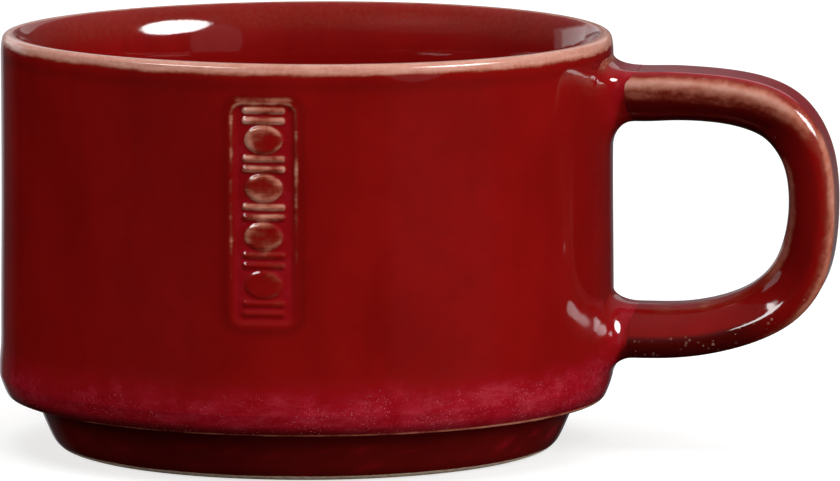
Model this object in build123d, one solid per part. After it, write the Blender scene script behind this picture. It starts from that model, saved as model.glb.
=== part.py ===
# Stacking stoneware cup: a straight-walled glazed cup on a stepped foot, with
# one strap handle luted to the wall at two places.
#
# Frame: millimetres, +Z up. The origin is the centre of the foot's standing
# face, so the cup's axis is the Z axis. The handle points along +X, and the
# impressed panel faces -Y, a quarter turn from the handle.
#
# Pieces, each a closed solid in its own STEP file:
#   cup_body            wall, lip, ledge and floor, one jiggered piece
#   foot_ring           the tapered foot it stands on, which fits the next cup's
#                       mouth, so that the ledge above it rests on that cup's lip
#   foot_joint          bed of slip between the foot ring and the body
#   handle              the pressed strap, cut to the wall's curve at both ends
#   upper_handle_joint  slip bed and smoothed clay collar at the upper root
#   lower_handle_joint  slip bed and smoothed clay collar at the lower root
import os
from math import cos, sin, radians

from build123d import *

# ---- driving dimensions, mm ------------------------------------------------
WALL_R = 45.2            # outside radius of the straight wall
WALL_T = 5.0             # wall thickness
RIM_Z = 60.9             # height of the lip's crest above the table
LIP_LEAN_Z = 58.3        # where the wall starts to lean in towards the lip
LIP_LEAN_DEG = 14.0      # how far it leans where it meets the lip's outer corner
LIP_CORNER_R = 0.9       # rounding of that corner
CREST_OUT_R = 44.1       # the lip's narrow crest lies between these radii
CREST_R = 43.4
LIP_IN_Z = 53.0          # where the lip's long inner slope meets the straight wall
FLOOR_Z = 11.8           # inside floor
FLOOR_FILLET = 7.0       # inside corner between wall and floor
SHOULDER_Z = 10.8        # where the wall starts to turn in to the ledge
BASE_Z = 7.6             # flat underside: the stacking ledge, and the foot's seat
LEDGE_R = 43.8           # outer end of that flat

SLIP_T = 0.4             # thickness of a luting bed of slip
FOOT_TOP_R = 40.1        # foot ring, outside, at its top
FOOT_LOW_R = 37.2        # foot ring, outside, above the chamfer
FOOT_LOW_Z = 1.0         # height of that chamfer
FOOT_STAND_R = 35.9      # outer edge of the standing face
FOOT_STAND_IN_R = 32.2   # inner edge of the standing face
FOOT_IN_R = 31.2         # foot ring, inside
FOOT_IN_Z = 0.8          # height of the inner chamfer

STRAP_W = 13.0           # handle strap, across
STRAP_T = 7.5            # handle strap, radially
STRAP_CORNER = 2.1       # rounding of its two outer corners
SIDE_DEG = 15.0          # how far the sides lean in where they leave those corners
STRAP_IN_W = 2.2         # flat left on the inner face
UPPER_Z = 52.38          # centre line of the upper arm at the wall
LOWER_Z = 17.90          # centre line of the lower arm at the wall
UPPER_STRAIGHT_X = 55.0  # the upper arm runs straight to here
LOWER_STRAIGHT_X = 52.0  # and the lower arm to here
# centre line of the handle's bow between the two straight arms, (x, z)
BOW = [(61.8, 52.05), (66.2, 51.1), (69.8, 49.4), (72.2, 46.8), (73.75, 43.6),
       (74.5, 39.6), (74.6, 35.2), (74.1, 30.9), (72.8, 26.8), (69.95, 23.05),
       (65.8, 20.5), (60.9, 18.9), (56.5, 18.13)]
# the clay collar smoothed round each root, as sections of constant x from inside
# the wall outwards: (x, half width, lower z, upper z, corner radius)
UPPER_COLLAR = [(41.2, 17.0, 42.6, 58.1, 7.0), (43.9, 11.8, 44.4, 57.9, 5.2),
                (45.8, 8.4, 46.5, 57.2, 3.4), (49.2, 6.6, 48.52, 56.24, 2.2)]
LOWER_COLLAR = [(41.2, 17.0, 10.6, 24.4, 6.8), (43.9, 11.8, 11.3, 23.6, 5.2),
                (45.8, 8.4, 12.7, 22.5, 3.4), (49.2, 6.6, 14.04, 21.76, 2.2)]

PANEL_W = 9.0            # impressed ornamental panel on the wall, across
PANEL_LOW_Z = 23.9       # its lower and upper ends
PANEL_HIGH_Z = 55.2
PANEL_DEPTH = 0.45       # pressed into the wall
PANEL_CORNER = 1.5
# the panel's raised motifs, bead and reel: beads and pairs of bars, (z, half height)
BEAD_Z = [50.15, 43.25, 36.35, 29.45]
BEAD_HALF_W, BEAD_HALF_H = 2.7, 2.0
REEL_Z = [53.6, 46.7, 39.8, 32.9, 26.0]
REEL_HALF_W, REEL_HALF_H, REEL_GAP = 3.05, 0.42, 0.62

os.makedirs("parts", exist_ok=True)

IN_R = WALL_R - WALL_T
LIP_Z = LIP_LEAN_Z


def revolved(outline):
    """A solid of revolution whose seam is on the side away from the handle."""
    return Rot(0, 0, 180) * revolve(make_face(outline), Axis.Z)


# ---- cup body --------------------------------------------------------------
lip_lean = radians(LIP_LEAN_DEG)
lip_turn = (radians(90) + lip_lean) / 2
lip_centre = (CREST_OUT_R, RIM_Z - LIP_CORNER_R)
lip_low = (lip_centre[0] + LIP_CORNER_R * cos(lip_lean), lip_centre[1] + LIP_CORNER_R * sin(lip_lean))
lip_mid = (lip_centre[0] + LIP_CORNER_R * cos(lip_turn), lip_centre[1] + LIP_CORNER_R * sin(lip_turn))
f_mid_a = radians(-45)
f_centre = (IN_R - FLOOR_FILLET, FLOOR_Z + FLOOR_FILLET)
f_mid = (f_centre[0] + FLOOR_FILLET * cos(f_mid_a), f_centre[1] + FLOOR_FILLET * sin(f_mid_a))


def P(r, z):
    return Vector(r, 0, z)


body_outline = [
    Line(P(0, BASE_Z), P(LEDGE_R, BASE_Z)),
    Bezier(P(LEDGE_R, BASE_Z), P(LEDGE_R + 0.5, BASE_Z), P(WALL_R, SHOULDER_Z - 0.9), P(WALL_R, SHOULDER_Z)),
    Line(P(WALL_R, SHOULDER_Z), P(WALL_R, LIP_Z)),
    Bezier(P(WALL_R, LIP_Z), P(WALL_R, LIP_Z + 0.7),
           P(lip_low[0] + 0.65 * sin(lip_lean), lip_low[1] - 0.65 * cos(lip_lean)), P(*lip_low)),
    ThreePointArc(P(*lip_low), P(*lip_mid), P(CREST_OUT_R, RIM_Z)),
    Line(P(CREST_OUT_R, RIM_Z), P(CREST_R, RIM_Z)),
    Bezier(P(CREST_R, RIM_Z), P(CREST_R - 1.3, RIM_Z), P(IN_R + 0.25, RIM_Z - 3.6), P(IN_R, LIP_IN_Z)),
    Line(P(IN_R, LIP_IN_Z), P(IN_R, FLOOR_Z + FLOOR_FILLET)),
    ThreePointArc(P(IN_R, FLOOR_Z + FLOOR_FILLET), P(*f_mid), P(IN_R - FLOOR_FILLET, FLOOR_Z)),
    Line(P(IN_R - FLOOR_FILLET, FLOOR_Z), P(0, FLOOR_Z)),
    Line(P(0, FLOOR_Z), P(0, BASE_Z)),
]
cup_body = revolved(Wire(body_outline))
cup_outside = revolved(Wire(body_outline[:3] + [Line(P(WALL_R, LIP_Z), P(0, LIP_Z)),
                                                Line(P(0, LIP_Z), P(0, BASE_Z))]))

# the impressed panel: a rounded rectangle pressed in from -Y, whose floor keeps
# the wall's curve, with a bead-and-reel column standing up from that floor
panel_mid = (PANEL_LOW_Z + PANEL_HIGH_Z) / 2
front = Plane(origin=(0, -WALL_R - 2, 0), x_dir=(1, 0, 0), z_dir=(0, -1, 0))
panel = Pos(0, panel_mid) * RectangleRounded(PANEL_W, PANEL_HIGH_Z - PANEL_LOW_Z, PANEL_CORNER)
motifs = []
for z in BEAD_Z:
    motifs.append(Pos(0, z) * Ellipse(BEAD_HALF_W, BEAD_HALF_H))
for z in REEL_Z:
    for side in (-1, 1):
        motifs.append(Pos(0, z + side * (REEL_GAP / 2 + REEL_HALF_H))
                      * RectangleRounded(2 * REEL_HALF_W, 2 * REEL_HALF_H, REEL_HALF_H * 0.9))
field = panel
for m in motifs:
    field -= m
press = extrude(front * field, amount=-6)
skin = (Pos(0, 0, panel_mid) * Cylinder(WALL_R + 3, 60)
        - Pos(0, 0, panel_mid) * Cylinder(WALL_R - PANEL_DEPTH, 60))
cup_body -= press & skin

# ---- foot ring and the slip bed above it -----------------------------------
foot_top = BASE_Z - SLIP_T
foot_ring = revolved(Wire([
    Line(P(FOOT_STAND_IN_R, 0), P(FOOT_STAND_R, 0)),
    Line(P(FOOT_STAND_R, 0), P(FOOT_LOW_R, FOOT_LOW_Z)),
    Line(P(FOOT_LOW_R, FOOT_LOW_Z), P(FOOT_TOP_R, foot_top)),
    Line(P(FOOT_TOP_R, foot_top), P(FOOT_IN_R, foot_top)),
    Line(P(FOOT_IN_R, foot_top), P(FOOT_IN_R, FOOT_IN_Z)),
    Line(P(FOOT_IN_R, FOOT_IN_Z), P(FOOT_STAND_IN_R, 0)),
]))
SLIP_OUT_R = FOOT_TOP_R - 0.1
foot_joint = revolved(Wire([
    Line(P(FOOT_IN_R, foot_top), P(SLIP_OUT_R, foot_top)),
    Line(P(SLIP_OUT_R, foot_top), P(SLIP_OUT_R, BASE_Z)),
    Line(P(SLIP_OUT_R, BASE_Z), P(FOOT_IN_R - 0.5, BASE_Z)),
    Line(P(FOOT_IN_R - 0.5, BASE_Z), P(FOOT_IN_R, foot_top)),
]))

# ---- handle strap ----------------------------------------------------------
start = P(WALL_R - 6, UPPER_Z)
end = P(WALL_R - 6, LOWER_Z)
upper_end = P(UPPER_STRAIGHT_X, UPPER_Z)
lower_end = P(LOWER_STRAIGHT_X, LOWER_Z)
bow = Spline([upper_end] + [P(x, z) for x, z in BOW] + [lower_end],
             tangents=[(1, 0, 0), (-1, 0, 0)])
path = Wire([Line(start, upper_end), bow, Line(lower_end, end)])
# The strap's section: a flat outer face between two tight corners, and sides that
# draw in to a narrower, softer inner face.
w, t, c = STRAP_W / 2, STRAP_T / 2, STRAP_CORNER
lean = radians(SIDE_DEG)
k = c * (1 - cos(radians(45)))
s0 = (w - c + c * cos(lean), t - c - c * sin(lean))
s1 = (s0[0] - 2.4 * sin(lean), s0[1] - 2.4 * cos(lean))
s2, s3 = (4.3, -t), (STRAP_IN_W / 2, -t)
section_edges = [
    Line((-w + c, t), (w - c, t)),
    ThreePointArc((w - c, t), (w - k, t - k), s0),
    Bezier(s0, s1, s2, s3),
    Line(s3, (-s3[0], -t)),
    Bezier((-s3[0], -t), (-s2[0], -t), (-s1[0], s1[1]), (-s0[0], s0[1])),
    ThreePointArc((-s0[0], s0[1]), (-w + k, t - k), (-w + c, t)),
]
across = Plane(origin=start, x_dir=(0, 1, 0), z_dir=(1, 0, 0))
section = across * make_face(Wire(section_edges))
strap = sweep(section, path=path)


def drum(radius, height=90):
    """A plain cylinder about the cup's axis, its seam away from the handle."""
    return Rot(0, 0, 180) * (Pos(0, 0, 30) * Cylinder(radius, height))


handle = strap - drum(WALL_R + SLIP_T)

# ---- collars: clay smoothed round each root, with the slip bed behind it ----
def collar(sections):
    """Clay smoothed round a root, with the bed of slip behind the strap's end."""
    faces = []
    for x, half_w, low, high, corner in sections:
        plane = Plane(origin=(x, 0, (low + high) / 2), x_dir=(0, 1, 0), z_dir=(1, 0, 0))
        faces.append(plane * RectangleRounded(2 * half_w, high - low, corner))
    return (loft(faces) - cup_outside) - strap_beyond_slip


strap_beyond_slip = strap - drum(WALL_R + SLIP_T)
upper_handle_joint = collar(UPPER_COLLAR)
lower_handle_joint = collar(LOWER_COLLAR)

# ---- write -----------------------------------------------------------------
nodes = {
    "cup_body": cup_body,
    "foot_ring": foot_ring,
    "foot_joint": foot_joint,
    "handle": handle,
    "upper_handle_joint": upper_handle_joint,
    "lower_handle_joint": lower_handle_joint,
}
for name, shape in nodes.items():
    solids = shape.solids()
    shape = solids[0] if len(solids) == 1 else Compound(children=list(solids))
    export_step(shape, f"parts/{name}.step")
    box = shape.bounding_box()
    print(f"{name:20s} solids {len(solids)} volume {sum(s.volume for s in solids):10.1f} mm3 "
          f"x {box.min.X:.2f}..{box.max.X:.2f} y {box.min.Y:.2f}..{box.max.Y:.2f} "
          f"z {box.min.Z:.2f}..{box.max.Z:.2f}")
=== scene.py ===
import math

import bpy
import numpy as np
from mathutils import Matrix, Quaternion, Vector


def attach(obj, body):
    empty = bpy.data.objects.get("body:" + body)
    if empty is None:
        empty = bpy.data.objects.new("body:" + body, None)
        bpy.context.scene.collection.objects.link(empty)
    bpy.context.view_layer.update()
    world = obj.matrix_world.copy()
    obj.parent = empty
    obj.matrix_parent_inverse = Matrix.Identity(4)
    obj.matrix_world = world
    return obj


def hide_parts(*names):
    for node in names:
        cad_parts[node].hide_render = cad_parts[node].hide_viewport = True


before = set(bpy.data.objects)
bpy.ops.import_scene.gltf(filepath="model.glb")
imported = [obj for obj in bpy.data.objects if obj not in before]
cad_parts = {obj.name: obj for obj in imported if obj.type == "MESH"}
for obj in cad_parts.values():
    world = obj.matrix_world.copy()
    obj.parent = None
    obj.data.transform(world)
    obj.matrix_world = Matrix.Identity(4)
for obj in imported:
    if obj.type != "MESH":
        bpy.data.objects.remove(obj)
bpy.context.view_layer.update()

MM = 0.001
WALL_R = 45.2
rad = math.radians


def smooth(a, b, x):
    t = np.clip((np.asarray(x, float) - a) / (b - a), 0.0, 1.0)
    return t * t * (3 - 2 * t)


def bell(x, centre, width):
    return np.exp(-(((np.asarray(x, float) - centre) / width) ** 2))


# ---- gentle unevenness, the same on every run ------------------------------
def wobble(x, y, z, scale, seed=0.0):
    """A smooth field in about -1..1 with features of roughly scale millimetres."""
    k = 2 * math.pi / scale
    s = (
        np.sin(k * (0.93 * x + 0.31 * y + 0.17 * z) + 1.3 + seed)
        + np.sin(k * (-0.42 * x + 0.81 * y + 0.36 * z) + 4.1 + 1.7 * seed)
        + np.sin(k * (0.22 * x - 0.53 * y + 0.88 * z) + 2.2 + 2.9 * seed)
        + np.sin(k * 1.73 * (0.51 * x + 0.47 * y - 0.71 * z) + 0.4 + 0.6 * seed)
    )
    return s / 4.0


# ---- mesh making -----------------------------------------------------------
def make_mesh(name, verts, faces, attrs, material, node):
    mesh = bpy.data.meshes.new(name)
    mesh.from_pydata((np.asarray(verts, float) * MM).tolist(), [], faces)
    mesh.validate(verbose=False)
    for key, values in attrs.items():
        a = mesh.attributes.new(key, "FLOAT", "POINT")
        a.data.foreach_set("value", np.asarray(values, np.float32))
    mesh.polygons.foreach_set("use_smooth", [True] * len(mesh.polygons))
    mesh.materials.append(material)
    obj = bpy.data.objects.new(name, mesh)
    bpy.context.scene.collection.objects.link(obj)
    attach(obj, "root")
    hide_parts(node)
    return obj


def grid_faces(rows, cols, closed_cols=True, closed_rows=False, base=0):
    faces = []
    for i in range(rows if closed_rows else rows - 1):
        a, b = base + i * cols, base + ((i + 1) % rows) * cols
        for j in range(cols if closed_cols else cols - 1):
            k = (j + 1) % cols
            faces.append((a + j, a + k, b + k, b + j))
    return faces


def arc(cx, cy, r, a0, a1, n):
    t = np.radians(np.linspace(a0, a1, n))
    return [(cx + r * math.cos(q), cy + r * math.sin(q)) for q in t]


def line(p, q, n):
    t = np.linspace(0, 1, n)
    return [(p[0] + (q[0] - p[0]) * u, p[1] + (q[1] - p[1]) * u) for u in t]


def bezier(p0, p1, p2, p3, n):
    p0, p1, p2, p3 = (np.array(q, float) for q in (p0, p1, p2, p3))
    return [tuple((1 - u) ** 3 * p0 + 3 * (1 - u) ** 2 * u * p1 + 3 * (1 - u) * u**2 * p2 + u**3 * p3)
            for u in np.linspace(0, 1, n)]


def chain(*runs):
    pts = []
    for run in runs:
        for p in run:
            if not pts or math.hypot(p[0] - pts[-1][0], p[1] - pts[-1][1]) > 1e-6:
                pts.append(p)
    return np.array(pts)


# ---- glaze and clay --------------------------------------------------------
class Tree:
    """A short way to write node trees."""

    def __init__(self, name):
        self.mat = bpy.data.materials.new(name)
        self.mat.use_nodes = True
        self.t = self.mat.node_tree
        self.t.nodes.clear()

    def add(self, kind, **props):
        n = self.t.nodes.new("ShaderNode" + kind)
        for k, v in props.items():
            setattr(n, k, v)
        return n

    def put(self, socket, value):
        if hasattr(value, "is_output"):
            self.t.links.new(value, socket)
        else:
            socket.default_value = value
        return socket

    def math(self, op, a, b=None, clamp=False):
        n = self.add("Math", operation=op, use_clamp=clamp)
        self.put(n.inputs[0], a)
        if b is not None:
            self.put(n.inputs[1], b)
        return n.outputs[0]

    def attr(self, name):
        return self.add("Attribute", attribute_name=name).outputs["Fac"]

    def noise(self, coords, scale, detail=3.0, rough=0.5, distort=0.0):
        n = self.add("TexNoise")
        self.put(n.inputs["Vector"], coords)
        n.inputs["Scale"].default_value = scale
        n.inputs["Detail"].default_value = detail
        n.inputs["Roughness"].default_value = rough
        n.inputs["Distortion"].default_value = distort
        return n.outputs["Fac"]

    def remap(self, value, a, b, c=0.0, d=1.0, kind="SMOOTHSTEP"):
        n = self.add("MapRange", interpolation_type=kind)
        self.put(n.inputs["Value"], value)
        n.inputs["From Min"].default_value = a
        n.inputs["From Max"].default_value = b
        n.inputs["To Min"].default_value = c
        n.inputs["To Max"].default_value = d
        return n.outputs["Result"]

    def mix(self, fac, a, b):
        n = self.add("Mix", data_type="RGBA")
        self.put(n.inputs["Factor"], fac)
        self.put(n.inputs["A"], a)
        self.put(n.inputs["B"], b)
        return n.outputs["Result"]

    def ramp(self, value, stops):
        n = self.add("ValToRGB")
        self.put(n.inputs["Fac"], value)
        e = n.color_ramp.elements
        while len(e) < len(stops):
            e.new(0.5)
        for i, (pos, colour) in enumerate(stops):
            e[i].position = pos
            e[i].color = (*colour, 1.0)
        return n.outputs["Color"]


def rgb(r, g, b):
    """An sRGB colour of 0..255 as linear light."""
    out = []
    for c in (r, g, b):
        c = c / 255.0
        out.append(c / 12.92 if c <= 0.04045 else ((c + 0.055) / 1.055) ** 2.4)
    return tuple(out)


def glaze_material(name, shade_factor=1.0):
    """Copper-red glaze. Point attributes say where it is what:
    thin_and_sheen 0..1, where the glaze runs off edges so that the buff body shows tan-pink through it; on the handle
    and the upper collar it also holds painted highlights and painted reflections pool  0..1, gathered thick, where it
    turns crimson and holds fine bubbles dark_glaze_and_shade 0..1, a darker, browner colour: a darker run of glaze, and
    painted shade under the ledge's turn, on the foot and in its seam ring, on the handle's side faces and under its
    lower arm, and at the collars' strap ends bare_and_bounce 0..1, wiped off, down to the clay; along the foot's outer
    bottom edge it also paints bounce light from below drag  0..1, 1 where thin_and_sheen already holds its own streaks
    fleck_and_glint 0..1, pale flecks where it has crawled off a corner, partly painted glints
    satin 0..1, less glossy, as where fingers smoothed the clay"""
    t = Tree(name)
    coords = t.add("TexCoord").outputs["Object"]
    thin_and_sheen, pool = t.attr("thin_and_sheen"), t.attr("pool")
    dark_glaze_and_shade, bare_and_bounce = t.attr("dark_glaze_and_shade"), t.attr("bare_and_bounce")
    drag, fleck_and_glint, satin = t.attr("drag"), t.attr("fleck_and_glint"), t.attr("satin")
    broad = t.noise(coords, 55.0, 2.0)
    mid = t.noise(coords, 320.0, 4.0, 0.6)
    fine = t.noise(coords, 1500.0, 3.0, 0.6)
    grain = t.noise(coords, 3600.0, 2.0, 0.5)
    # drawn out level, as the glaze moves along an edge
    level = t.add("Mapping")
    t.put(level.inputs["Vector"], coords)
    level.inputs["Scale"].default_value = (1.0, 1.0, 7.0)
    streak = t.noise(level.outputs[0], 230.0, 4.0, 0.6)

    # body colour of the glaze, uneven as the copper is
    # a factor below 1 darkens these reds, for a copy of the glaze painted in shade
    red = t.mix(t.remap(broad, 0.35, 0.65), (*rgb(126 * shade_factor, 13, 11), 1), (*rgb(135 * shade_factor, 15, 13), 1))
    red = t.mix(t.remap(mid, 0.42, 0.72, 0.0, 0.18), red, (*rgb(106 * shade_factor, 6, 6), 1))
    upright = t.add("Mapping")
    t.put(upright.inputs["Vector"], coords)
    upright.inputs["Scale"].default_value = (1.0, 1.0, 0.22)
    red = t.mix(t.remap(t.noise(upright.outputs[0], 120.0, 3.0, 0.6), 0.45, 0.75, 0.0, 0.38), red, (*rgb(108 * shade_factor, 8, 7), 1))
    crimson = t.mix(t.remap(mid, 0.4, 0.7), (*rgb(146, 12, 26), 1), (*rgb(160, 22, 38), 1))
    pooled = t.remap(t.math("ADD", pool, t.math("MULTIPLY", t.math("SUBTRACT", mid, 0.5), 0.35)), 0.05, 1.0)
    flat_lie = t.add("Mapping")
    t.put(flat_lie.inputs["Vector"], coords)
    flat_lie.inputs["Scale"].default_value = (1.0, 1.0, 2.6)
    # pale pink in the pooled glaze: partly milky fine bubbles, partly a painted sheen where the thick roll above the
    # ledge catches light
    milky_and_sheen = t.math("MULTIPLY", t.remap(pooled, 0.36, 0.90), t.remap(t.noise(flat_lie.outputs[0], 200.0, 6.0, 0.78), 0.42, 0.70, 0.0, 0.40))
    colour = t.mix(pooled, red, crimson)
    colour = t.mix(milky_and_sheen, colour, (*rgb(186, 62, 76), 1))
    # dark brown-red where the glaze is darker: a darker run of glaze in places, painted shade in most
    colour = t.mix(dark_glaze_and_shade, colour, (*rgb(52, 8, 6), 1))

    # fine bubbles held in the thick glaze
    cell = t.add("TexVoronoi", feature="F1")
    t.put(cell.inputs["Vector"], coords)
    cell.inputs["Scale"].default_value = 4900.0
    pick = t.add("SeparateColor")
    t.put(pick.inputs["Color"], cell.outputs["Color"])
    small = t.math("LESS_THAN", cell.outputs["Distance"], 0.28)
    few = t.math("GREATER_THAN", t.math("ADD", pick.outputs[0], t.math("MULTIPLY", pooled, 0.19)), 0.99)
    patch = t.remap(t.noise(flat_lie.outputs[0], 170.0, 2.0), 0.36, 0.58)
    bubble = t.math("MULTIPLY", t.math("MULTIPLY", small, few), t.math("MULTIPLY", patch, t.remap(pooled, 0.3, 0.9, 0.04, 1.0)))
    colour = t.mix(t.math("MULTIPLY", bubble, 0.56), colour, (*rgb(222, 150, 158), 1))

    # where it runs thin, and where highlights and reflections are painted on the handle and the upper collar:
    # brown-red, then terracotta, then tan-pink
    paled = t.math("ADD", thin_and_sheen, t.math("ADD", t.math("MULTIPLY", t.math("SUBTRACT", streak, 0.5), t.remap(drag, 0.0, 1.0, 0.62, 0.0, "LINEAR")),
                                       t.math("MULTIPLY", t.math("SUBTRACT", fine, 0.5), 0.34)))
    paled = t.math("MULTIPLY", paled, t.remap(thin_and_sheen, 0.0, 0.25))
    shown = t.remap(paled, 0.05, 0.60)
    thin_colour = t.ramp(t.math("ADD", paled, 0.0, clamp=True),
                         [(0.0, rgb(108, 24, 15)), (0.34, rgb(128, 52, 36)), (0.62, rgb(172, 100, 80)), (1.0, rgb(203, 147, 130))])
    colour = t.mix(shown, colour, thin_colour)

    # pale crumbs on the flecked corner: crawled glaze, partly painted glints
    crumb = t.add("TexVoronoi", feature="F1")
    t.put(crumb.inputs["Vector"], coords)
    crumb.inputs["Scale"].default_value = 1500.0
    crumb_pick = t.add("SeparateColor")
    t.put(crumb_pick.inputs["Color"], crumb.outputs["Color"])
    crumbs = t.math("MULTIPLY", t.math("LESS_THAN", crumb.outputs["Distance"], 0.34), t.math("GREATER_THAN", crumb_pick.outputs[0], 0.62))
    crumbs = t.math("MULTIPLY", t.math("MULTIPLY", crumbs, t.remap(t.noise(coords, 420.0, 2.0), 0.42, 0.62)), fleck_and_glint)
    colour = t.mix(t.math("MULTIPLY", crumbs, 0.8), colour, (*rgb(172, 128, 114), 1))

    # bare clay on the standing face, its colours light enough to also paint bounce light on the foot's outer bottom
    # edge
    clay = t.mix(t.remap(fine, 0.35, 0.7), (*rgb(216, 190, 166), 1), (*rgb(182, 150, 124), 1))
    clay_shown = t.remap(t.math("ADD", bare_and_bounce, t.math("MULTIPLY", t.math("SUBTRACT", fine, 0.5), 0.4)), 0.35, 0.65)
    colour = t.mix(clay_shown, colour, clay)

    rough = t.remap(mid, 0.3, 0.7, 0.035, 0.07, "LINEAR")
    rough = t.math("ADD", rough, t.math("MULTIPLY", shown, 0.07))
    rough = t.math("ADD", rough, t.math("MULTIPLY", satin, 0.10))
    rough = t.math("ADD", rough, t.math("MULTIPLY", clay_shown, 0.5), clamp=True)

    bump = t.add("Bump")
    bump.inputs["Strength"].default_value = 0.35
    bump.inputs["Distance"].default_value = 0.00006
    skin = t.noise(coords, 260.0, 1.0, 0.4)
    height = t.math("ADD", t.math("MULTIPLY", skin, 0.8), t.math("MULTIPLY", t.math("MULTIPLY", grain, shown), 0.5))
    height = t.math("ADD", height, t.math("MULTIPLY", bubble, 0.6))
    t.put(bump.inputs["Height"], height)

    p = t.add("BsdfPrincipled")
    t.put(p.inputs["Base Color"], colour)
    t.put(p.inputs["Roughness"], rough)
    t.put(p.inputs["Normal"], bump.outputs["Normal"])
    p.inputs["IOR"].default_value = 1.5
    out = t.add("OutputMaterial")
    t.put(out.inputs["Surface"], p.outputs["BSDF"])
    return t.mat


glaze = glaze_material("oxblood_glaze")
# the foot's glaze is a darker copy: painted shade for the foot, which stands in shadow under the ledge
foot_glaze = glaze_material("foot_glaze", shade_factor=0.76)


def clay_material(name):
    t = Tree(name)
    coords = t.add("TexCoord").outputs["Object"]
    fine = t.noise(coords, 2600.0, 4.0, 0.6)
    colour = t.ramp(fine, [(0.3, rgb(96, 66, 50)), (0.55, rgb(132, 98, 74)), (0.75, rgb(158, 126, 98))])
    bump = t.add("Bump")
    bump.inputs["Strength"].default_value = 0.5
    bump.inputs["Distance"].default_value = 0.0001
    t.put(bump.inputs["Height"], fine)
    p = t.add("BsdfPrincipled")
    t.put(p.inputs["Base Color"], colour)
    p.inputs["Roughness"].default_value = 0.85
    t.put(p.inputs["Normal"], bump.outputs["Normal"])
    out = t.add("OutputMaterial")
    t.put(out.inputs["Surface"], p.outputs["BSDF"])
    return t.mat


clay = clay_material("bare_clay")

# ---- cup body --------------------------------------------------------------
LIP_Z, RIM_Z, IN_R, FLOOR_Z, BASE_Z = 58.3, 60.9, 40.2, 11.8, 7.6
CREST_R = 43.4


def wall_r(z):
    return 45.0 + 0.2 * smooth(44.0, 13.0, z)


# the lip's outer corner, and the turn from the wall in to the stacking ledge, from below
LIP_TURN = arc(43.9, 60.0, 0.9, 14, 90, 14)
LEDGE = bezier((44.0, 7.6), (44.28, 7.6), (45.2, 10.15), (45.2, 10.8), 30)


def even_curve(points, n, start=None, end=None):
    """n points along a smooth curve through points, by centripetal Catmull-Rom."""
    p = [np.array(q, float) for q in points]
    p = [2 * p[0] - p[1]] + p + [2 * p[-1] - p[-2]]
    out = []
    for i in range(1, len(p) - 2):
        for u in np.linspace(0, 1, 12, endpoint=False):
            a, b, c, d = p[i - 1], p[i], p[i + 1], p[i + 2]
            out.append(0.5 * (2 * b + (c - a) * u + (2 * a - 5 * b + 4 * c - d) * u**2 + (3 * b - a - 3 * c + d) * u**3))
    out.append(p[-2])
    out = np.array(out)
    d = np.r_[0, np.cumsum(np.hypot(*np.diff(out, axis=0).T))]
    s_ = np.linspace(0, d[-1], n)
    return list(zip(np.interp(s_, d, out[:, 0]), np.interp(s_, d, out[:, 1])))


SHOULDER_TOP = 10.8
PANEL_TOP, PANEL_LOW = 55.2, 23.9
outer_wall = ([(wall_r(z), z) for z in np.linspace(SHOULDER_TOP, 21.4, 20)]
              + [(wall_r(z), z) for z in np.linspace(21.4, 56.6, 206)[1:]]
              + [(wall_r(z), z) for z in np.linspace(56.6, LIP_Z, 9)[1:]])
profile = chain(
    line((0.02, BASE_Z), (39.0, BASE_Z), 9), line((39.0, BASE_Z), (43.6, BASE_Z), 9),
    line((43.6, BASE_Z), (44.0, BASE_Z), 4),
    LEDGE,
    outer_wall,
    bezier((45.0, LIP_Z), (45.0, 59.0), (44.93, 59.59), LIP_TURN[0], 9),
    LIP_TURN,
    line((43.9, RIM_Z), (CREST_R, RIM_Z), 4),
    bezier((CREST_R, RIM_Z), (42.1, RIM_Z), (40.45, 57.3), (IN_R, 53.0), 36),
    line((IN_R, 53.0), (40.15, FLOOR_Z + 7.0), 20),
    arc(40.15 - 7.0, FLOOR_Z + 7.0, 7.0, 0, -90, 14),
    line((33.15, FLOOR_Z), (0.02, FLOOR_Z), 14),
)


def row_of(r0, z0):
    return int(np.argmin(np.hypot(profile[:, 0] - r0, profile[:, 1] - z0)))


n_low = row_of(wall_r(SHOULDER_TOP), SHOULDER_TOP)
n_ledge = row_of(43.6, BASE_Z)
n_lip = row_of(45.0, LIP_Z)
n_rim = row_of(43.65, RIM_Z)

def gathered(x, y, z):
    """How far the glaze has run down and gathered above the ledge."""
    to_handle = x / np.maximum(np.hypot(x, y), 1e-6)
    return (0.66 + 0.30 * smooth(-0.6, 0.55, to_handle)) * smooth(
        18.5, 10.2, z + 1.0 * wobble(x, y, z, 17.0, 8) + 0.4 * wobble(x, y, z, 5.0, 3))


fine_half = math.degrees(6.4 / 45.0)
theta = np.concatenate([
    np.linspace(-90 - fine_half, -90 + fine_half, 74),
    np.linspace(-90 + fine_half, -24, 24)[1:-1],
    np.linspace(-24, 24, 61),
    np.linspace(24, 270 - fine_half, 98)[1:-1],
])
cols = len(theta)
th = np.radians(theta)[None, :]
r = profile[:, 0][:, None] * np.ones((1, cols))
z = profile[:, 1][:, None] * np.ones((1, cols))
rows = len(profile)
row = np.arange(rows)[:, None]
on_wall = (row >= n_low) & (row <= n_lip)

# the impressed panel, a bead-and-reel border standing in a shallow recess
run = 45.1 * (th - rad(-90))
run = np.where(np.abs(run) < 9, run, 99.0)
pz = z - (PANEL_TOP + PANEL_LOW) / 2


def box_distance(x, y, half_x, half_y, corner):
    qx, qy = np.abs(x) - (half_x - corner), np.abs(y) - (half_y - corner)
    return np.hypot(np.maximum(qx, 0), np.maximum(qy, 0)) + np.minimum(np.maximum(qx, qy), 0) - corner


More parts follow.
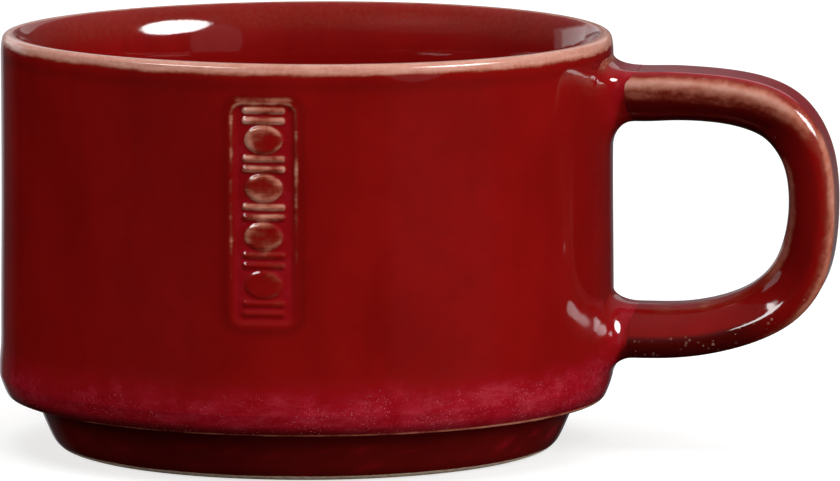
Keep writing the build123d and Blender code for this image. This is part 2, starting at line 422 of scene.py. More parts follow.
edge = box_distance(run, pz, 4.5, (PANEL_TOP - PANEL_LOW) / 2, 1.5)
BEAD_Z, REEL_Z = [50.15, 43.25, 36.35, 29.45], [53.6, 46.7, 39.8, 32.9, 26.0]
raised = np.full_like(edge, 9.0)
for bz in BEAD_Z:
    k = np.hypot(run / 2.7, (z - bz) / 2.0)
    raised = np.minimum(raised, (k - 1) * 2.2)
for bz in REEL_Z:
    for side in (-1, 1):
        raised = np.minimum(raised, box_distance(run, z - (bz + side * 0.73), 3.05, 0.42, 0.38))
fade = 0.22 + 0.78 * smooth(24.0, 46.0, z)
sunk = smooth(0.45, -0.75, edge)
up = smooth(0.34, -0.46, raised) * smooth(0.1, -0.5, edge)
depth = (0.45 * sunk - 0.40 * up) * (0.45 + 0.55 * fade)
r = r - np.where(on_wall, depth, 0.0)

x, y = r * np.cos(th), r * np.sin(th)
# the lip is a touch out of flat, and the wall a touch out of round
rim_share = smooth(36, 60, z)
z = z + 0.13 * np.sin(2 * (th - rad(8))) * rim_share
push = 0.035 * wobble(x, y, z, 26) * (r > 30)
# thick glaze gathers in a low roll above the ledge
push = push + 0.10 * bell(z, 12.4, 2.4) * (row < n_lip) * (r > 41)
x, y = x + push * np.cos(th), y + push * np.sin(th)
# and the ledge sits a little askew
low_part = (row < n_lip) * (r > 20)
x = x - 0.2 * smooth(16.0, 10.5, z) * low_part
z = z - 0.17 * (x / 45.0) * bell(z, 7.6, 3.2) * low_part

thin_and_sheen = np.zeros_like(z)
outer = row <= n_rim
at_z = profile[:, 1][:, None]
lip_run = np.where(outer, RIM_Z - at_z, 0.0)
uneven = (0.16 * wobble(x, y, z, 11.0, 2) + 0.12 * wobble(x, y, z, 3.4, 5) + 0.07 * wobble(x, y, z, 1.5, 1)
          + 0.22 * smooth(-0.1, -0.9, np.cos(th)))
thin_and_sheen = np.where(outer & (row > n_low), 0.92 * smooth(2.15, 0.95, lip_run + uneven), thin_and_sheen)
thin_and_sheen = np.maximum(thin_and_sheen, (0.24 + 0.42 * smooth(60.75, 60.9, at_z)) * (~outer) * smooth(53.0, 58.5, z))
border = bell(edge, 0.20, 0.34) * (edge < 3) * on_wall
crest = smooth(0.30, -0.05, raised) * (1 - 0.45 * smooth(-0.2, -1.2, raised)) * on_wall * (edge < 0)
broken = wobble(x, y, z, 5.2, 3) * 0.45 + 0.2 * wobble(x, y, z, 2.1, 4)
thin_and_sheen = np.maximum(thin_and_sheen, np.clip((0.42 + 0.30 * smooth(50.0, 55.5, z) + broken) * fade, 0, 1) * border)
thin_and_sheen = np.maximum(thin_and_sheen, (0.50 + 0.5 * broken) * bell(z, 55.85, 0.55) * smooth(4.9, 3.6, np.abs(run)) * on_wall)
thin_and_sheen = np.maximum(thin_and_sheen, np.clip((0.60 + broken) * fade, 0, 1) * crest)
arris = bell(z, 7.72, 0.2) * (r > 43.8) * outer
thin_and_sheen = np.maximum(thin_and_sheen, (0.42 + 0.30 * smooth(-0.2, 0.9, np.cos(th)) + 0.25 * wobble(x, y, z, 7.0, 6)) * arris)
pool = gathered(x, y, z) * outer * (row >= n_ledge)
root = bell(45.0 * np.arctan2(y, x), 0.0, 12.0) * on_wall
pool = np.maximum(pool, 0.18 * root)
pool = np.maximum(pool, np.clip(sunk - 1.3 * up, 0, 1) * on_wall * 0.46)
pool = np.maximum(pool, 0.55 * (~outer) * smooth(22.0, 12.0, z))
# painted shade: darker where the wall turns under to the ledge, less so towards the handle, the side the lights come
# from
dark_glaze_and_shade = (0.86 - 0.30 * smooth(0.0, 0.8, np.cos(th))) * smooth(9.6, 7.9, z) * outer * (r > 36)
dark_glaze_and_shade = np.maximum(dark_glaze_and_shade, 0.28 * bell(edge, 1.1, 0.7) * on_wall * (edge < 4))
dark_glaze_and_shade = np.maximum(dark_glaze_and_shade, 0.22 * bell(lip_run, 3.1, 0.9) * outer)
bare_and_bounce = np.zeros_like(z)

verts = np.stack([x, y, z], -1).reshape(-1, 3)
faces = grid_faces(rows, cols)
low_tip, high_tip = len(verts), len(verts) + 1
verts = np.vstack([verts, [[0, 0, BASE_Z], [0, 0, FLOOR_Z]]])
faces += [(low_tip, (j + 1) % cols, j) for j in range(cols)]
top = (rows - 1) * cols
faces += [(high_tip, top + j, top + (j + 1) % cols) for j in range(cols)]


def flat(a):
    return np.append(np.broadcast_to(a, (rows, cols)).reshape(-1), [0.0, 0.0])


body = make_mesh("cup_body_glazed", verts, faces,
                 {"thin_and_sheen": flat(thin_and_sheen), "pool": flat(pool), "dark_glaze_and_shade": flat(dark_glaze_and_shade), "bare_and_bounce": flat(bare_and_bounce),
                  "drag": flat((~outer) * smooth(60.8, 60.4, at_z))},
                 glaze, "cup_body")

# ---- foot ring -------------------------------------------------------------


def ring_piece(name, outline, n, attrs_of, material, node, wave=0.0, shift=0.0):
    outline = np.asarray(outline)
    m = len(outline)
    a = np.linspace(0, 2 * math.pi, n, endpoint=False)[None, :]
    rr, zz = outline[:, 0][:, None] * np.ones((1, n)), outline[:, 1][:, None] * np.ones((1, n))
    xx, yy = rr * np.cos(a), rr * np.sin(a)
    out = wave * wobble(xx, yy, zz, 21, 1)
    xx, yy = xx + out * np.cos(a) + shift, yy + out * np.sin(a)
    at = {k: np.broadcast_to(v, (m, n)).reshape(-1) for k, v in attrs_of(xx, yy, zz, outline, np.arange(m)[:, None]).items()}
    return make_mesh(name, np.stack([xx, yy, zz], -1).reshape(-1, 3),
                     grid_faces(m, n, closed_rows=True), at, material, node)


foot_outline = chain(
    line((32.3, 0.0), (35.4, 0.0), 8),
    even_curve([(35.75, 0.02), (36.2, 0.16), (36.6, 0.38), (37.2, 1.0), (37.72, 1.9), (38.23, 3.0),
                (38.75, 4.2), (39.35, 5.6), (39.85, 6.75), (39.95, 6.98)], 34),
    arc(39.72, 6.98, 0.22, 0, 90, 5),
    line((39.2, 7.2), (31.3, 7.2), 8),
    line((31.2, 7.1), (31.2, 0.9), 9),
    arc(32.3, 0.9, 0.9, 195, 262, 6),
)[:-1]


def foot_attrs(x, y, z, outline, i):
    r = outline[:, 0][:, None]
    uneven = 0.10 * wobble(x, y, z, 6.0, 4) + 0.06 * wobble(x, y, z, 2.3, 1)
    low = np.where(r > 35.2, smooth(0.80, 0.45, z + uneven), 0.0) * (z < 2)
    # side runs across the foot from its left to its right, the side the lights come from
    side = (x + 6.0) / 36.0
    cloud = smooth(-0.1, 0.5, wobble(x, y, 2 * z, 9, 5) * wobble(y, x, 3 * z, 14, 1) * 1.6 + 0.5 * wobble(x, -y, 2 * z, 4.0, 2) * wobble(x, y, z, 6.0, 7))
    return {
        "thin_and_sheen": np.clip(0.85 * low, 0, 1),
        # crimson clouds low on the foot: partly the glaze's own mottling, partly painted light, stronger towards the
        # lit right
        "pool": np.clip((0.16 + 0.34 * smooth(-0.4, 0.6, side)) * bell(z, 3.6, 2.4) * cloud, 0, 1) * (r > 36),
        # painted shade: darker towards the left and towards the top, under the ledge's overhang; darker also in a band
        # low down, lighter in the clouds
        "dark_glaze_and_shade": np.clip(0.34 - 0.22 * smooth(-0.5, 0.6, side) + 0.34 * smooth(4.6, 6.9, z) * (r > 36.5)
                        + 0.24 * bell(z, 1.25, 0.5) * (r > 36) - 0.22 * cloud * (z < 5.5), 0, 1),
        # bare clay on the standing face and inside; along the outer bottom edge partly bare clay, partly painted bounce
        # light from below
        "bare_and_bounce": np.clip(smooth(0.10, 0.02, z) + (r < 33) * smooth(0.9, 0.3, z) + 0.95 * np.where(r > 35.2, smooth(0.86, 0.56, z + 0.6 * uneven), 0.0) * (z < 2), 0, 1),
    }


foot = ring_piece("foot_ring_glazed", foot_outline, 220, foot_attrs, foot_glaze, "foot_ring", 0.03, -0.2)


# the slip ring in the groove between the foot and the underside is fully darkened: partly dark pooled glaze, partly
# painted shadow of the groove
def seam_shade_attrs(x, y, z, outline, i):
    zero = np.zeros_like(x)
    return {"thin_and_sheen": zero, "pool": zero, "dark_glaze_and_shade": zero + 1.0, "bare_and_bounce": zero}


seam_outline = chain(line((31.0, 7.15), (39.6, 7.15), 6), line((39.8, 7.3), (39.8, 7.55), 3),
                     line((39.6, 7.65), (31.0, 7.65), 6), line((30.9, 7.5), (30.9, 7.3), 3))
seam = ring_piece("foot_joint_slip_and_shade", seam_outline, 220, seam_shade_attrs, foot_glaze, "foot_joint")

# ---- handle ----------------------------------------------------------------
UPPER_Z, LOWER_Z = 52.38, 17.90
# centre line of the handle, (x, z), and half its thickness there
SPINE = [(50.0, 52.38), (53.5, 52.49), (57.0, 52.44), (61.8, 52.05), (66.22, 51.12), (69.78, 49.4),
         (72.18, 46.79), (73.74, 43.58), (74.52, 39.59), (74.6, 35.2), (74.09, 30.9), (72.79, 26.76),
         (69.94, 23.05), (65.82, 20.51), (60.92, 18.9), (56.47, 18.13), (53.0, 17.92), (50.0, 17.9)]
SPINE_HALF_T = [3.84, 3.78, 3.68, 3.66, 3.75, 3.83, 3.75, 3.6, 3.5, 3.52, 3.72, 4.0, 4.0, 3.8, 3.75, 3.78, 3.84, 3.86]


def spline(points, n, start, end):
    """An even cubic curve through points, with the given end directions."""
    p = np.array(points, float)
    m = len(p)
    d = np.r_[0, np.cumsum(np.hypot(*np.diff(p, axis=0).T))]
    h = np.diff(d)
    A, B = np.zeros((m, m)), np.zeros((m, 2))
    A[0, 0] = A[-1, -1] = 1
    B[0], B[-1] = start, end
    for i in range(1, m - 1):
        A[i, i - 1], A[i, i], A[i, i + 1] = h[i], 2 * (h[i - 1] + h[i]), h[i - 1]
        B[i] = 3 * (h[i] * (p[i] - p[i - 1]) / h[i - 1] + h[i - 1] * (p[i + 1] - p[i]) / h[i])
    T = np.linalg.solve(A, B)
    s = np.linspace(0, d[-1], n)
    k = np.clip(np.searchsorted(d, s, side="right") - 1, 0, m - 2)
    u = ((s - d[k]) / h[k])[:, None]
    hk = h[k][:, None]
    return ((2 * u**3 - 3 * u**2 + 1) * p[k] + (u**3 - 2 * u**2 + u) * hk * T[k]
            + (-2 * u**3 + 3 * u**2) * p[k + 1] + (u**3 - u**2) * hk * T[k + 1])


curve = spline(SPINE, 190, (1, 0), (-1, 0))
path = np.vstack([[(x0, UPPER_Z) for x0 in np.linspace(43.6, 50.0, 12)[:-1]], curve,
                  [(x0, LOWER_Z) for x0 in np.linspace(50.0, 43.6, 12)[1:]]])
tangent = np.gradient(path, axis=0)
tangent /= np.linalg.norm(tangent, axis=1)[:, None]
outward = np.stack([-tangent[:, 1], tangent[:, 0]], 1)      # to the left of travel: up, then outwards
along = np.r_[0, np.cumsum(np.linalg.norm(np.diff(path, axis=0), axis=1))]
total = along[-1]


def section(half_t, corner=2.1, half_w=6.5, soft=0.0):
    """Half of the strap's section, from the middle of the outer face round to the
    middle of the inner face, as (across, outward)."""
    lean = rad(15 + 20 * soft)
    pts = line((0, half_t), (half_w - corner, half_t), 9)
    pts += arc(half_w - corner, half_t - corner, corner, 90, -math.degrees(lean), 15)[1:]
    s0 = pts[-1]
    reach = 2.4 - 0.8 * soft
    s1 = (s0[0] - reach * math.sin(lean), s0[1] - reach * math.cos(lean))
    pts += bezier(s0, s1, (4.3 - 1.0 * soft, -half_t), (1.1, -half_t), 19)[1:]
    pts += line((1.1, -half_t), (0, -half_t), 3)[1:]
    return np.array(pts)


near = [along[int(np.argmin(np.hypot(path[:, 0] - q[0], path[:, 1] - q[1])))] for q in SPINE]
half_t = np.interp(along, near, SPINE_HALF_T)
for _ in range(30):
    half_t[1:-1] = (half_t[:-2] + 2 * half_t[1:-1] + half_t[2:]) / 4
rings, ring_attr = [], []
for i in range(len(path)):
    at = along[i] / total
    half = section(half_t[i], soft=float(smooth(0.50, 0.62, at) * (1 - 0.75 * smooth(0.74, 0.86, at))))
    whole = np.vstack([half, (half * [-1, 1])[-2:0:-1]])
    c, o = path[i], outward[i]
    px, pz_ = c[0] + o[0] * whole[:, 1], c[1] + o[1] * whole[:, 1]
    rings.append(np.stack([px, whole[:, 0], pz_], 1))
    ring_attr.append(whole)
rings, ring_attr = np.array(rings), np.array(ring_attr)
m, n = rings.shape[:2]
w, t_ = ring_attr[:, :, 0], ring_attr[:, :, 1]
share = (along / total)[:, None]
hx, hy, hz = rings[..., 0], rings[..., 1], rings[..., 2]
swell = 0.05 * wobble(hx, hy, hz, 17, 7)
hy = hy + swell * np.sign(w) * (np.abs(w) > 4)
ht = half_t[:, None]
# the glaze breaks over the outer corners
gap = np.hypot(np.abs(w) - (6.5 - 2.1), t_ - (ht - 2.1))
angle = np.degrees(np.arctan2(t_ - (ht - 2.1), np.abs(w) - (6.5 - 2.1)))
side_run = smooth(0.30, 0.42, share)          # past the upper bend, the bow's upright part
# how strongly it breaks round the corner, on the upper arm and on the upright; its peak at about 14 degrees is a
# painted highlight along the corner
arm_break_and_glint = np.interp(angle, [-15, -5, 5, 14, 23, 34, 46, 62, 76, 88], [0.76, 0.88, 1.02, 1.20, 1.10, 0.76, 0.48, 0.28, 0.10, 0.0])
arm_break_and_glint = np.where(angle < -15, np.interp(t_ - (ht - 2.64), [-3.0, -2.1, -1.3, -0.6, 0], [0.0, 0.10, 0.36, 0.60, 0.74]), arm_break_and_glint)
on_bow = np.interp(angle, [-18, -2, 14, 31, 45, 56, 70, 90], [0.08, 0.18, 0.30, 0.46, 0.78, 0.96, 1.0, 0.92])
on_bow = np.where(angle < -18, np.interp(t_ - (ht - 2.64), [-1.4, -0.5, 0], [0.0, 0.04, 0.08]), on_bow) * smooth(1.6, 4.2, np.abs(w))
over = (arm_break_and_glint * (1 - side_run) * (np.abs(w) > 3.0) + on_bow * side_run) * (t_ > -3.0)
uneven = 0.10 * wobble(hx, hy, hz, 6.0, 2)
# the corner's pale band fades on the upright; on the lower arm it is cut down further, as painted shade where the arm
# faces down, away from the lights
break_fade_and_shade = 1 - 0.10 * side_run - 0.62 * smooth(0.64, 0.80, share)
thin_and_sheen = np.clip(over * (0.78 + uneven) * break_fade_and_shade - 0.12 * smooth(0.60, 0.72, share), 0, 1)
# and a painted reflection: a thin pale line along the inner edge of the bow, where it would mirror the pale
# surroundings
inner_edge_reflection = smooth(1.9, 0.8, t_ + ht) * smooth(0.34, 0.44, share) * smooth(0.97, 0.86, share)
thin_and_sheen = np.maximum(thin_and_sheen, (0.66 - 0.36 * smooth(0.58, 0.72, share) + 0.8 * uneven) * inner_edge_reflection)
# specks along the lower arm's outer corner, where the glaze breaks, partly painted glints
fleck_and_glint = np.clip(bell(angle, 8, 34), 0, 1) * (t_ > 0.2) * smooth(0.60, 0.70, share)
satin = smooth(0.76, 0.90, share) * smooth(3.0, 1.5, t_) * smooth(-3.6, -2.4, t_) + 0.3 * smooth(0.14, 0.08, share)
flow = along[:, None] * np.ones_like(hx)
combed = (0.11 * wobble(np.abs(w), t_ - ht, 0.11 * flow, 1.9, 5) + 0.10 * wobble(np.abs(w), t_ - ht, 0.16 * flow, 1.0, 2)
          + 0.08 * wobble(hx, hy, hz, 2.4, 6))
thin_and_sheen = np.clip(thin_and_sheen + combed * smooth(0.04, 0.3, thin_and_sheen), 0, 1)
pool = 0.55 * smooth(ht - 0.5, ht - 0.1, t_) * smooth(0.62, 0.30, share) * np.ones_like(hx)
side_face = smooth(1.6, 0.2, t_)
# painted shade on the side faces of the upper arm and the upright, partly a darker glaze there, and painted shade under
# the lower arm's outer corner; lighter where the corner's glaze breaks
dark_glaze_and_shade = np.clip(0.66 * side_face * smooth(0.42, 0.30, share) + 0.12 * side_face * smooth(0.68, 0.56, share)
               + 0.84 * smooth(0.15, 1.0, t_) * (np.abs(w) > 3) * smooth(0.66, 0.76, share), 0, 1) * (1 - 0.6 * over * smooth(0.8, 0.6, share))
bare_and_bounce = np.zeros_like(hx)
verts = np.stack([hx, hy, hz], -1).reshape(-1, 3)
faces = grid_faces(m, n)
verts = np.vstack([verts, [path[0][0], 0, path[0][1]], [path[-1][0], 0, path[-1][1]]])
faces += [(m * n, j, (j + 1) % n) for j in range(n)]
faces += [(m * n + 1, (m - 1) * n + (j + 1) % n, (m - 1) * n + j) for j in range(n)]
faces = [tuple(reversed(f)) for f in faces]


def two_more(a):
    return np.append(np.asarray(a).reshape(-1), [0.0, 0.0])


handle = make_mesh("handle_strap", verts, faces,
                   {"thin_and_sheen": two_more(thin_and_sheen), "pool": two_more(pool), "dark_glaze_and_shade": two_more(dark_glaze_and_shade), "bare_and_bounce": two_more(bare_and_bounce),
                    "drag": two_more(np.ones_like(hx)), "fleck_and_glint": two_more(fleck_and_glint), "satin": two_more(satin * np.ones_like(hx))},
                   glaze, "handle")

# ---- collars of clay and glaze at the handle's roots -----------------------


def outer_r(z0):
    """Radius of the cup's outside at a height, above the foot."""
    z0 = np.asarray(z0, float)
    low = np.array(LEDGE)
    return np.where(z0 < SHOULDER_TOP, np.interp(z0, low[:, 1], low[:, 0]), wall_r(z0))


def settle(x, y, z):
    """Where the body's surface really lies for a point of the plain outer wall."""
    a = np.arctan2(y, x)
    z = z + 0.13 * np.sin(2 * (a - rad(8))) * smooth(36, 60, z)
    push = 0.035 * wobble(x, y, z, 26) + 0.10 * bell(z, 12.4, 2.4)
    x, y = x + push * np.cos(a), y + push * np.sin(a)
    x = x - 0.2 * smooth(16.0, 10.5, z)
    return x, y, z - 0.17 * (x / 45.0) * bell(z, 7.6, 3.2)


def collar(name, node, zc, sign, ht0, side, side_x, above, above_x, below, below_x, line_x, soft=0.0):
    """A concave sleeve from the wall to the strap, closed inside both."""
    half = section(ht0, soft=soft)
    whole = np.vstack([half, (half * [-1, 1])[-2:0:-1]])
    # resample evenly round the section
    loop = np.vstack([whole, whole[:1]])
    d = np.r_[0, np.cumsum(np.hypot(*np.diff(loop, axis=0).T))]
    k = 120
    s = np.linspace(0, d[-1], k, endpoint=False)
    q = np.stack([np.interp(s, d, loop[:, 0]), np.interp(s, d, loop[:, 1])], 1)
    q = q * [1, sign]
    nxt, prv = np.roll(q, -1, 0), np.roll(q, 1, 0)
    tan = nxt - prv
    nor = np.stack([tan[:, 1], -tan[:, 0]], 1) * -sign
    nor /= np.linalg.norm(nor, axis=1)[:, None]
    for _ in range(6):
        nor = nor + np.roll(nor, 1, 0) + np.roll(nor, -1, 0)
        nor /= np.linalg.norm(nor, axis=1)[:, None]
    ny, nz = nor[:, 0], nor[:, 1]
    tb = np.where(nz > 0, above, below)
    # the clay is drawn down the wall, so the sleeve spreads towards its lower side
    dy, dz = ny * side * (1 - 0.45 * np.clip(q[:, 1] / ht0, -1, 1)), nz * tb
    dist = np.hypot(dy, dz)
    ey, ez = dy / dist, dz / dist
    wy, wz = q[:, 0] + dy, zc + q[:, 1] + dz
    wr = outer_r(wz) + 0.012
    wx = np.sqrt(wr**2 - wy**2)
    W = np.stack(settle(wx, wy, wz), 1)
    # the skirt sinks slowly under the wall's surface, so that the seam shades smoothly
    skirts = []
    for reach, sink in ((1.0, 0.004), (2.4, 0.12)):
        sy, sz = wy + reach * ey, wz + reach * ez
        sr = outer_r(sz) - sink
        skirts.append(np.stack(settle(np.sqrt(sr**2 - sy**2), sy, np.minimum(sz, 58.25)), 1))
    hx = side_x * ny**2 + np.where(nz > 0, above_x, below_x) * nz**2
    H = np.stack([hx, q[:, 0] * 1.002, zc + q[:, 1] * 1.002], 1)
    slope = (outer_r(wz + 0.05) - outer_r(wz - 0.05)) / 0.1
    T0 = np.stack([(wy / wx) * ey - slope * ez, -ey, -ez], 1) * (1.6 * dist)[:, None]
    T1 = np.stack([np.ones(k), np.zeros(k), np.zeros(k)], 1) * (1.6 * (hx - wx))[:, None]
    v = np.linspace(0, 1, 22)
    rows_ = []
    rows_.append(skirts[1] - [1.2, 0, 0])
    rows_.append(skirts[1])
    rows_.append(skirts[0])
    for u in v:
        rows_.append((2 * u**3 - 3 * u**2 + 1) * W + (u**3 - 2 * u**2 + u) * T0
                     + (-2 * u**3 + 3 * u**2) * H + (u**3 - u**2) * T1)
    mid_h = np.array([0, 0, zc])
    tuck = H + [0.45, 0, 0]
    tuck[:, 1:] = mid_h[1:] + (H[:, 1:] - mid_h[1:]) * 0.985
    rows_.append(tuck)
    inset = tuck.copy()
    inset[:, 1:] = mid_h[1:] + (H[:, 1:] - mid_h[1:]) * 0.8
    rows_.append(inset)
    P = np.array(rows_)
    mm = len(P)
    share_ = np.r_[0, 0, 0, v, 1, 1][:, None] * np.ones((1, k))
    uneven = 0.05 * wobble(P[..., 0], P[..., 1], P[..., 2], 4.5, 3)
    P[1:-1, :, 0] += (uneven * smooth(0.05, 0.3, share_) * smooth(0.98, 0.8, share_))[1:-1]
    # past this line the strap's end begins, darker like the strap: painted shade, partly darker glaze, deepest low on
    # the lower collar
    over_z = P[..., 2] - zc
    ends = np.interp(over_z, [-6.0, -4.0, -3.0, -1.0, 1.0, 3.0], line_x)
    past = smooth(-0.3, 0.3, P[..., 0] - ends + 0.25 * wobble(P[..., 0], P[..., 1], P[..., 2], 3.0, 2)) * (over_z < 2.4)
    pool = 0.18 * bell(P[..., 1], 0.0, 12.0) + 0.40 * smooth(0.25, 0.9, share_) * (1 - past)
    pool = np.maximum(pool, gathered(P[..., 0], P[..., 1], P[..., 2]) * (1 - past))
    # painted shade past the line, deepest towards the bottom of the lower collar
    dark_glaze_and_shade = past * (0.42 if sign > 0 else 0.25 + 0.55 * smooth(-0.5, -3.0, over_z))
    # a painted reflection: the upper collar's upward-facing top turned pale, where it would mirror the surroundings at
    # a grazing angle
    paled = 0.5 * smooth(0.45, 0.9, nz)[None, :] * smooth(0.55, 0.1, share_) * (sign > 0)
    zero = np.zeros_like(pool)
    verts = P.reshape(-1, 3)
    cw, ch = W.mean(0) - [2.4, 0, 0], H.mean(0) - [0.6, 0, 0]
    faces = grid_faces(mm, k)
    verts = np.vstack([verts, cw, ch])
    faces += [(mm * k, (j + 1) % k, j) for j in range(k)]
    faces += [(mm * k + 1, (mm - 1) * k + j, (mm - 1) * k + (j + 1) % k) for j in range(k)]
    if sign > 0:
        faces = [tuple(reversed(f)) for f in faces]
    at = {"thin_and_sheen": two_more(paled), "pool": two_more(pool), "dark_glaze_and_shade": two_more(dark_glaze_and_shade), "bare_and_bounce": two_more(zero)}
    return make_mesh(name, verts, faces, at, glaze, node)


upper = collar("upper_root_collar", "upper_handle_joint", UPPER_Z, 1, 3.86, 7.0, 47.9, 1.6, 48.9, 4.4, 48.3,
               [45.3, 45.9, 46.3, 46.9, 47.6, 48.6])
lower = collar("lower_root_collar", "lower_handle_joint", LOWER_Z, -1, 3.86, 7.0, 47.9, 1.9, 49.2, 3.4, 48.6,
               [45.8, 46.4, 46.9, 47.6, 48.2, 49.0], soft=0.25)

# ---- floor, backdrop, light, camera ----------------------------------------


def stage_material(name, colour, glow):
    t = Tree(name)
    d = t.add("BsdfDiffuse")
    d.inputs["Color"].default_value = (*colour, 1)
    e = t.add("Emission")
    e.inputs["Color"].default_value = (1, 0.995, 0.985, 1)
    e.inputs["Strength"].default_value = glow
    s = t.add("AddShader")
    t.put(s.inputs[0], d.outputs[0])
    t.put(s.inputs[1], e.outputs[0])
    clear = t.add("BsdfTransparent")
    back = t.add("MixShader")
    t.put(back.inputs[0], t.add("NewGeometry").outputs["Backfacing"])
    t.put(back.inputs[1], s.outputs[0])
    t.put(back.inputs[2], clear.outputs[0])
    out = t.add("OutputMaterial")
    t.put(out.inputs["Surface"], back.outputs[0])
    return t.mat


def plain_dim(level):
    t = Tree("flag_dim")
    e = t.add("Emission")
    e.inputs["Color"].default_value = (level, level, level, 1)
    t.put(t.add("OutputMaterial").inputs["Surface"], e.outputs[0])
    return t.mat


def stage_mesh(name, verts, faces, material):
    mesh = bpy.data.meshes.new(name)
    mesh.from_pydata(verts, [], faces)
    mesh.materials.append(material)
    mesh.polygons.foreach_set("use_smooth", [True] * len(mesh.polygons))
    o = bpy.data.objects.new(name, mesh)
    bpy.context.scene.collection.objects.link(o)
    return o


N = 96
ringv = [(4.4 * math.cos(2 * math.pi * i / N), 4.4 * math.sin(2 * math.pi * i / N), -0.00015) for i in range(N)]
floor = stage_mesh("floor", ringv, [tuple(range(N))], stage_material("pale_floor", (0.42, 0.42, 0.42), 0.70))
dome_v, dome_f = [], []
for i in range(25):
    a = math.pi * i / 24 - math.pi / 2
    for j in range(48):
        b = 2 * math.pi * j / 48
        dome_v.append((4.5 * math.cos(a) * math.cos(b), 4.5 * math.cos(a) * math.sin(b), 4.5 * math.sin(a)))
for i in range(24):
    for j in range(48):
        k = (j + 1) % 48
        dome_f.append((i * 48 + j, (i + 1) * 48 + j, (i + 1) * 48 + k, i * 48 + k))
dome = stage_mesh("backdrop", dome_v, dome_f, stage_material("pale_backdrop", (0.0, 0.0, 0.0), 1.0))
for o in (floor, dome):
    o.visible_diffuse = False
    o.visible_glossy = False
    o.visible_transmission = False
    o.visible_shadow = False


def softbox(name, azimuth, elevation, distance, width, height, power, glossy=True, diffuse=True, shape="RECTANGLE",
            roll=0.0, aim=(0.0, 0.0, 0.035)):
    """azimuth is counted from the camera's side of the cup, -Y, towards the handle, +X."""
    a, e = rad(azimuth), rad(elevation)
    d = Vector((math.sin(a) * math.cos(e), -math.cos(a) * math.cos(e), math.sin(e)))
    light = bpy.data.lights.new(name, "AREA")
    light.shape = shape
    light.size, light.size_y = width, height
    light.energy = power
    o = bpy.data.objects.new(name, light)
    bpy.context.scene.collection.objects.link(o)
    o.location = Vector(aim) + d * distance
    o.rotation_mode = "QUATERNION"
    o.rotation_quaternion = (-d).to_track_quat("-Z", "Y") @ Quaternion((0, 0, 1), rad(roll))
    o.visible_glossy = glossy
    o.visible_diffuse = diffuse
    o.visible_camera = False
    return o


softbox("key_window", 71, 31, 1.3, 0.70, 0.38, 17.5, diffuse=False, shape="ELLIPSE", roll=-12)
softbox("left_window", -42, 38, 1.3, 0.88, 0.28, 9.0, diffuse=False, shape="ELLIPSE")
softbox("back_left_card", -139, 10, 1.5, 0.62, 0.44, 0.58, diffuse=False)
softbox("back_left_halo", -137, 10, 1.52, 0.86, 0.56, 0.48, diffuse=False)
softbox("back_high_card", -161, 14, 1.5, 0.48, 0.32, 0.28, diffuse=False)
softbox("back_right_high_card", 172, 24, 1.5, 0.6, 0.8, 0.50, diffuse=False, shape="ELLIPSE")
softbox("front_card", 48, 14, 1.5, 0.62, 1.0, 0.40, diffuse=False, shape="ELLIPSE")
softbox("big_fill", 53, 32, 1.7, 1.7, 1.2, 26.0, glossy=False)
softbox("left_fill", -78, 25, 1.7, 1.2, 1.0, 12.5, glossy=False)
softbox("top_fill", 20, 80, 1.6, 1.4, 1.4, 14.0, glossy=False)
softbox("low_fill", 60, -12, 1.6, 1.2, 0.6, 8.0, glossy=False)
softbox("back_fill", 182, 30, 1.7, 1.4, 1.0, 7.0, glossy=False)
softbox("low_left_fill", -50, -6, 1.6, 1.2, 0.6, 2.6, glossy=False)

# a dim flag between the left window and the far side of the mouth, seen only in reflections
away = Vector((-0.527, -0.586, 0.616)).normalized()
flag_side = away.cross(Vector((0, 0, 1))).normalized()
flag_up = flag_side.cross(away)
flag_at = Vector((0.0102, 0.0408, 0.059)) + away * 0.06
flag = stage_mesh("flag", [tuple(flag_at + flag_side * 0.032 * math.cos(a) + flag_up * 0.022 * math.sin(a))
                           for a in np.linspace(0, 2 * math.pi, 32, endpoint=False)],
                  [tuple(range(32))], plain_dim(0.12))
flag.visible_camera = flag.visible_diffuse = flag.visible_shadow = flag.visible_transmission = False

world = bpy.data.worlds.new("studio")
bpy.context.scene.world = world
world.use_nodes = True
wt = world.node_tree
wt.nodes.clear()


def world_node(kind, **props):
    n = wt.nodes.new("ShaderNode" + kind)
    for key, value in props.items():
        setattr(n, key, value)
    return n


def world_map(value, a, b, c, d):
    n = world_node("MapRange", interpolation_type="SMOOTHSTEP")
    wt.links.new(value, n.inputs["Value"])
    for key, v_ in zip(("From Min", "From Max", "To Min", "To Max"), (a, b, c, d)):
        n.inputs[key].default_value = v_
    return n.outputs["Result"]


def world_math(op, a, b):
    n = world_node("Math", operation=op)
    wt.links.new(a, n.inputs[0])
    wt.links.new(b, n.inputs[1])
    return n.outputs[0]


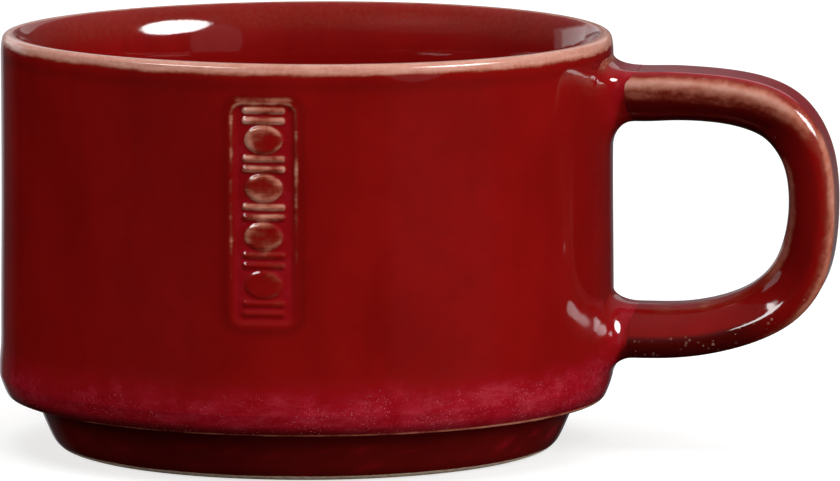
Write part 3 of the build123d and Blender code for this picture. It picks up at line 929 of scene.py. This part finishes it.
# dark towards the camera and below, a pale wall behind the cup, brightest straight
# behind, dimmer to the right, and a dim ceiling
ws = world_node("SeparateXYZ")
wt.links.new(world_node("TexCoord").outputs["Generated"], ws.inputs[0])
ceiling = world_map(ws.outputs["Z"], 0.0, 1.0, 0.0, 0.33)
ceiling = world_math("MULTIPLY", ceiling, world_map(ws.outputs["Y"], -0.4, 0.4, 0.45, 1.0))
behind = world_map(ws.outputs["Y"], 0.62, 0.98, 0.0, 1.0)
wall = world_map(ws.outputs["Z"], -0.17, 0.14, 0.045, 0.15)
to_left = world_map(ws.outputs["X"], -0.22, 0.06, 1.0, 0.25)
aft = world_node("VectorMath", operation="DOT_PRODUCT")
wt.links.new(ws.inputs[0].links[0].from_socket, aft.inputs[0])
aft.inputs[1].default_value = (-0.1254, 0.9921, 0.0)
narrow = world_map(aft.outputs["Value"], 0.925, 0.985, 0.0, 1.0)
low = world_map(ws.outputs["Z"], -0.12, 0.10, 0.44, 0.08)
glow = world_math("ADD", ceiling, world_math("MULTIPLY", world_math("MULTIPLY", behind, wall), to_left))
glow = world_math("ADD", glow, world_math("MULTIPLY", world_math("MULTIPLY", narrow, low), to_left))
wb = world_node("Background")
tint = world_node("CombineColor")
wt.links.new(glow, tint.inputs[0])
wt.links.new(glow, tint.inputs[1])
cool = world_node("Math", operation="MULTIPLY")
wt.links.new(glow, cool.inputs[0])
cool.inputs[1].default_value = 1.05
wt.links.new(cool.outputs[0], tint.inputs[2])
wt.links.new(tint.outputs[0], wb.inputs["Color"])
wb.inputs["Strength"].default_value = 1.0
wo = world_node("OutputWorld")
wt.links.new(wb.outputs[0], wo.inputs["Surface"])

cam_data = bpy.data.cameras.new("camera")
cam = bpy.data.objects.new("camera", cam_data)
bpy.context.scene.collection.objects.link(cam)
cam.location = (0.16701, -1.18832, 0.18868)
cam.rotation_mode = "QUATERNION"
cam.rotation_quaternion = Vector((-0.12440, 0.98353, -0.13113)).to_track_quat("-Z", "Y")
cam_data.sensor_width = 36.0
cam_data.lens = 351.96
cam_data.clip_start, cam_data.clip_end = 0.05, 60.0
bpy.context.scene.camera = cam

scene = bpy.context.scene
scene.view_settings.view_transform = "Standard"
scene.view_settings.look = "None"
scene.view_settings.exposure = 0.0
scene.view_settings.gamma = 1.0
